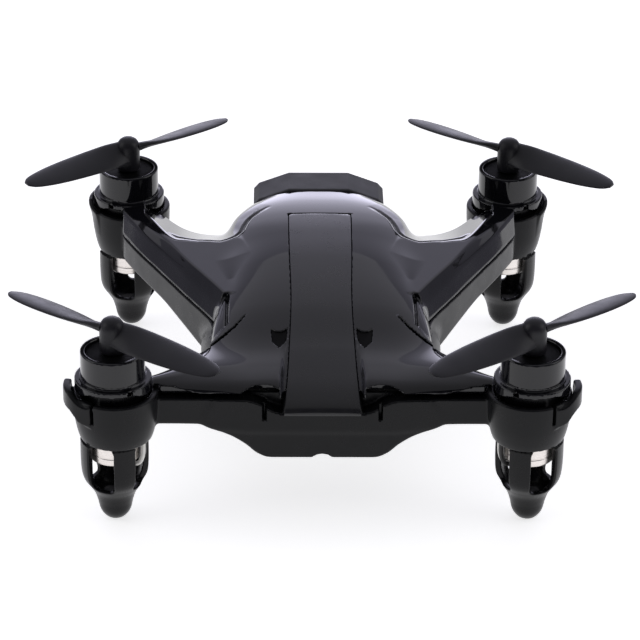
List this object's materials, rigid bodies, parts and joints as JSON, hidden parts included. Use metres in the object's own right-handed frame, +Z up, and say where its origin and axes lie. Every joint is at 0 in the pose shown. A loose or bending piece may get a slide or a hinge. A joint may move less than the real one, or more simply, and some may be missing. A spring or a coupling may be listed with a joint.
{
  "type": "palm quadcopter drone",
  "caption": "Small flying drone with a glossy shell over a satin chassis, two-blade propellers on caged motors and rounded landing feet.",
  "frame": {"origin": "on the ground plane under the middle of the four feet", "axes": "+Z up, +Y towards the tail so that the nose points to -Y, +X across"},
  "size_m": [0.0874, 0.0816, 0.0314],
  "materials": {
    "shell_gloss": "high-gloss injection-moulded ABS",
    "trim_satin": "satin ABS strip",
    "chassis_satin": "satin ABS moulding",
    "leg_satin": "satin ABS moulding",
    "tail_matte": "fine matte texture",
    "blade_black": "smooth matte nylon",
    "cap_black": "moulded nylon",
    "chip_black": "epoxy package",
    "board_green": "solder mask over glass laminate",
    "plug_cream": "moulded nylon",
    "cell_foil": "foil pouch",
    "lead_red": "soft insulation",
    "lead_black": "soft insulation",
    "lead_white": "soft insulation",
    "can_steel": "nickel plated, fine turned",
    "shaft_steel": "ground",
    "screw_steel": "black zinc",
    "plated_steel": "tin plated"
  },
  "bodies": {
    "airframe": {"upper_shell": "shell_gloss", "spine_trim": "trim_satin", "shoulder_vent_left": "tail_matte", "shoulder_vent_right": "tail_matte", "lower_chassis": "chassis_satin", "tail_cover": "tail_matte", "circuit_board": "board_green", "flight_chip": "chip_black", "radio_chip": "chip_black", "motion_sensor": "chip_black", "aerial_wire": "lead_white", "battery_plug": "plug_cream", "battery_cell": "cell_foil", "battery_lead_red": "lead_red", "battery_lead_black": "lead_black", "switch_housing": "plated_steel", "charging_socket": "plated_steel", "case_screw_1": "screw_steel", "case_screw_2": "screw_steel", "case_screw_3": "screw_steel", "case_screw_4": "screw_steel", "landing_leg_fl": "leg_satin", "motor_can_fl": "can_steel", "motor_end_cap_fl": "cap_black", "motor_lead_black_fl": "lead_black", "motor_lead_white_fl": "lead_white", "landing_leg_fr": "leg_satin", "motor_can_fr": "can_steel", "motor_end_cap_fr": "cap_black", "motor_lead_black_fr": "lead_black", "motor_lead_white_fr": "lead_white", "landing_leg_rl": "leg_satin", "motor_can_rl": "can_steel", "motor_end_cap_rl": "cap_black", "motor_lead_black_rl": "lead_black", "motor_lead_white_rl": "lead_white", "landing_leg_rr": "leg_satin", "motor_can_rr": "can_steel", "motor_end_cap_rr": "cap_black", "motor_lead_black_rr": "lead_black", "motor_lead_white_rr": "lead_white"},
    "rotor_front_left": {"propeller_fl": "blade_black", "motor_shaft_fl": "shaft_steel"},
    "rotor_front_right": {"propeller_fr": "blade_black", "motor_shaft_fr": "shaft_steel"},
    "rotor_rear_left": {"propeller_rl": "blade_black", "motor_shaft_rl": "shaft_steel"},
    "rotor_rear_right": {"propeller_rr": "blade_black", "motor_shaft_rr": "shaft_steel"},
    "switch": {"switch_slider": "tail_matte"}
  },
  "joints": [
    {"name": "propeller_front_left_spin", "type": "hinge", "parent": "airframe", "child": "rotor_front_left", "pos_m": [-0.02875, -0.02875, 0.0291], "axis": [0, 0, 1], "continuous": true},
    {"name": "propeller_front_right_spin", "type": "hinge", "parent": "airframe", "child": "rotor_front_right", "pos_m": [0.02875, -0.02875, 0.0291], "axis": [0, 0, 1], "continuous": true},
    {"name": "propeller_rear_left_spin", "type": "hinge", "parent": "airframe", "child": "rotor_rear_left", "pos_m": [-0.02875, 0.02875, 0.0291], "axis": [0, 0, 1], "continuous": true},
    {"name": "propeller_rear_right_spin", "type": "hinge", "parent": "airframe", "child": "rotor_rear_right", "pos_m": [0.02875, 0.02875, 0.0291], "axis": [0, 0, 1], "continuous": true},
    {"name": "power_switch_slide", "type": "slide", "parent": "airframe", "child": "switch", "axis": [1, 0, 0], "range_m": [0, 0.002]}
  ]
}
